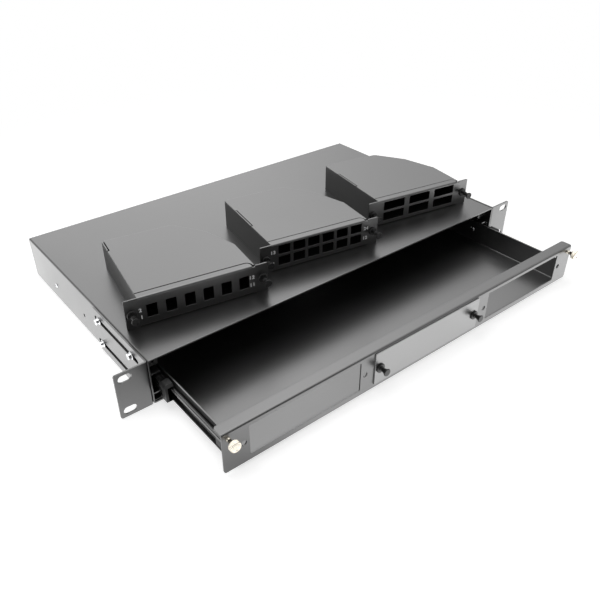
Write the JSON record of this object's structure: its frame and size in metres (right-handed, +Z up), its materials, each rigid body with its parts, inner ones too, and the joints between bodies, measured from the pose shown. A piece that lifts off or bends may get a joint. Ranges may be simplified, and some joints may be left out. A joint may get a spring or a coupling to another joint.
{
  "type": "sliding fibre patch drawer",
  "caption": "Sliding fibre patch drawer for a 19 inch rack: steel chassis, tray on ball slides with module bays, adjustable ears, and loose termination cassettes resting on top.",
  "frame": {"origin": "centre of the four rack slots, on the front plane of the ears", "axes": "+X across the rack to the right seen from the front, -Y out of the rack to the front, +Z up"},
  "size_m": [0.4826, 0.3642, 0.0719],
  "materials": {
    "black_powder": "fine-textured satin powder coat",
    "slide_steel": "black electro-coated",
    "cage_steel": "bright strip",
    "ball_steel": "polished",
    "screw_zinc": "zinc plated",
    "knob_nickel": "knurled, nickel plated",
    "black_plastic": "moulded nylon",
    "black_rubber": "matt"
  },
  "bodies": {
    "chassis": {"chassis_wrap": "black_powder", "chassis_base": "black_powder", "chassis_rear": "black_powder", "cable_edging_left": "black_rubber", "cable_edging_right": "black_rubber", "rack_ear_left": "black_powder", "rack_ear_right": "black_powder", "ear_screws": "screw_zinc", "slide_screws": "screw_zinc", "screw_tab_left": "black_powder", "screw_tab_right": "black_powder", "slide_outer_left": "slide_steel", "slide_outer_right": "slide_steel"},
    "drawer": {"drawer_tray": "black_powder", "tray_rivets": "screw_zinc", "slide_inner_left": "slide_steel", "slide_inner_right": "slide_steel", "slide_buffer_left": "black_plastic", "slide_buffer_right": "black_plastic"},
    "blank": {"blank_plate": "black_powder", "blank_grommets": "black_plastic"},
    "mid_left": {"slide_mid_left": "slide_steel", "slide_retainer_left": "black_plastic"},
    "outer_cage_left": {"cage_outer_left": "cage_steel", "balls_outer_left": "ball_steel"},
    "inner_cage_left": {"cage_inner_left": "cage_steel", "balls_inner_left": "ball_steel"},
    "thumb_clip_left": {"thumb_ring_left": "screw_zinc"},
    "thumb_turn_left": {"thumbscrew_left": "knob_nickel"},
    "mid_right": {"slide_mid_right": "slide_steel", "slide_retainer_right": "black_plastic"},
    "outer_cage_right": {"cage_outer_right": "cage_steel", "balls_outer_right": "ball_steel"},
    "inner_cage_right": {"cage_inner_right": "cage_steel", "balls_inner_right": "ball_steel"},
    "thumb_clip_right": {"thumb_ring_right": "screw_zinc"},
    "thumb_turn_right": {"thumbscrew_right": "knob_nickel"},
    "blank_latch_left": {"blank_pin_left": "black_plastic"},
    "blank_latch_right": {"blank_pin_right": "black_plastic"},
    "cassette_1": {"cassette_1_tray": "black_powder", "cassette_1_grommets": "black_plastic"},
    "cassette_1_lid": {"cassette_1_cover": "black_powder"},
    "cassette_1_latch_left": {"cassette_1_pin_left": "black_plastic"},
    "cassette_1_latch_right": {"cassette_1_pin_right": "black_plastic"},
    "cassette_2": {"cassette_2_tray": "black_powder", "cassette_2_grommets": "black_plastic"},
    "cassette_2_lid": {"cassette_2_cover": "black_powder"},
    "cassette_2_latch_left": {"cassette_2_pin_left": "black_plastic"},
    "cassette_2_latch_right": {"cassette_2_pin_right": "black_plastic"},
    "cassette_3": {"cassette_3_tray": "black_powder", "cassette_3_grommets": "black_plastic"},
    "cassette_3_lid": {"cassette_3_cover": "black_powder"},
    "cassette_3_latch_left": {"cassette_3_pin_left": "black_plastic"},
    "cassette_3_latch_right": {"cassette_3_pin_right": "black_plastic"}
  },
  "joints": [
    {"name": "drawer_slide", "type": "slide", "parent": "chassis", "child": "drawer", "axis": [0, -1, 0], "range_m": [-0.1, 0.1]},
    {"name": "mid_left_slide", "type": "slide", "parent": "chassis", "child": "mid_left", "axis": [0, -1, 0], "range_m": [-0.05, 0.05]},
    {"name": "outer_cage_left_slide", "type": "slide", "parent": "chassis", "child": "outer_cage_left", "axis": [0, -1, 0], "range_m": [-0.025, 0.025]},
    {"name": "inner_cage_left_slide", "type": "slide", "parent": "chassis", "child": "inner_cage_left", "axis": [0, -1, 0], "range_m": [-0.075, 0.075]},
    {"name": "thumb_push_left", "type": "slide", "parent": "drawer", "child": "thumb_clip_left", "axis": [0, -1, 0], "range_m": [-0.0044, 0]},
    {"name": "thumb_turn_left", "type": "hinge", "parent": "thumb_clip_left", "child": "thumb_turn_left", "pos_m": [-0.2052, -0.1, 0.01335], "axis": [0, 1, 0], "continuous": true},
    {"name": "mid_right_slide", "type": "slide", "parent": "chassis", "child": "mid_right", "axis": [0, -1, 0], "range_m": [-0.05, 0.05]},
    {"name": "outer_cage_right_slide", "type": "slide", "parent": "chassis", "child": "outer_cage_right", "axis": [0, -1, 0], "range_m": [-0.025, 0.025]},
    {"name": "inner_cage_right_slide", "type": "slide", "parent": "chassis", "child": "inner_cage_right", "axis": [0, -1, 0], "range_m": [-0.075, 0.075]},
    {"name": "thumb_push_right", "type": "slide", "parent": "drawer", "child": "thumb_clip_right", "axis": [0, -1, 0], "range_m": [-0.0044, 0]},
    {"name": "thumb_turn_right", "type": "hinge", "parent": "thumb_clip_right", "child": "thumb_turn_right", "pos_m": [0.2052, -0.1, 0.01335], "axis": [0, 1, 0], "continuous": true},
    {"name": "blank_lift", "type": "slide", "parent": "drawer", "child": "blank", "axis": [0, -1, 0], "range_m": [0, 0.03]},
    {"name": "blank_latch_left", "type": "slide", "parent": "blank", "child": "blank_latch_left", "axis": [0, -1, 0], "range_m": [0, 0.0035]},
    {"name": "blank_latch_right", "type": "slide", "parent": "blank", "child": "blank_latch_right", "axis": [0, -1, 0], "range_m": [0, 0.0035]},
    {"name": "cassette_1_lift", "type": "slide", "parent": "chassis", "child": "cassette_1", "axis": [0, 0, 1], "range_m": [0, 0.06]},
    {"name": "cassette_1_lid_lift", "type": "slide", "parent": "cassette_1", "child": "cassette_1_lid", "axis": [0, 0, 1], "range_m": [0, 0.03]},
    {"name": "cassette_1_latch_left", "type": "slide", "parent": "cassette_1", "child": "cassette_1_latch_left", "axis": [-0.1719, -0.9851, 0], "range_m": [-0.0035, 0]},
    {"name": "cassette_1_latch_right", "type": "slide", "parent": "cassette_1", "child": "cassette_1_latch_right", "axis": [-0.1719, -0.9851, 0], "range_m": [-0.0035, 0]},
    {"name": "cassette_2_lift", "type": "slide", "parent": "chassis", "child": "cassette_2", "axis": [0, 0, 1], "range_m": [0, 0.06]},
    {"name": "cassette_2_lid_lift", "type": "slide", "parent": "cassette_2", "child": "cassette_2_lid", "axis": [0, 0, 1], "range_m": [0, 0.03]},
    {"name": "cassette_2_latch_left", "type": "slide", "parent": "cassette_2", "child": "cassette_2_latch_left", "axis": [-0.1719, -0.9851, 0], "range_m": [-0.0035, 0]},
    {"name": "cassette_2_latch_right", "type": "slide", "parent": "cassette_2", "child": "cassette_2_latch_right", "axis": [-0.1719, -0.9851, 0], "range_m": [-0.0035, 0]},
    {"name": "cassette_3_lift", "type": "slide", "parent": "chassis", "child": "cassette_3", "axis": [0, 0, 1], "range_m": [0, 0.06]},
    {"name": "cassette_3_lid_lift", "type": "slide", "parent": "cassette_3", "child": "cassette_3_lid", "axis": [0, 0, 1], "range_m": [0, 0.03]},
    {"name": "cassette_3_latch_left", "type": "slide", "parent": "cassette_3", "child": "cassette_3_latch_left", "axis": [-0.1719, -0.9851, 0], "range_m": [-0.0035, 0]},
    {"name": "cassette_3_latch_right", "type": "slide", "parent": "cassette_3", "child": "cassette_3_latch_right", "axis": [-0.1719, -0.9851, 0], "range_m": [-0.0035, 0]}
  ],
  "couplings": [
    {"joint": "mid_left_slide", "follows": "drawer_slide", "ratio": 0.5},
    {"joint": "outer_cage_left_slide", "follows": "drawer_slide", "ratio": 0.25},
    {"joint": "inner_cage_left_slide", "follows": "drawer_slide", "ratio": 0.75},
    {"joint": "mid_right_slide", "follows": "drawer_slide", "ratio": 0.5},
    {"joint": "outer_cage_right_slide", "follows": "drawer_slide", "ratio": 0.25},
    {"joint": "inner_cage_right_slide", "follows": "drawer_slide", "ratio": 0.75}
  ]
}
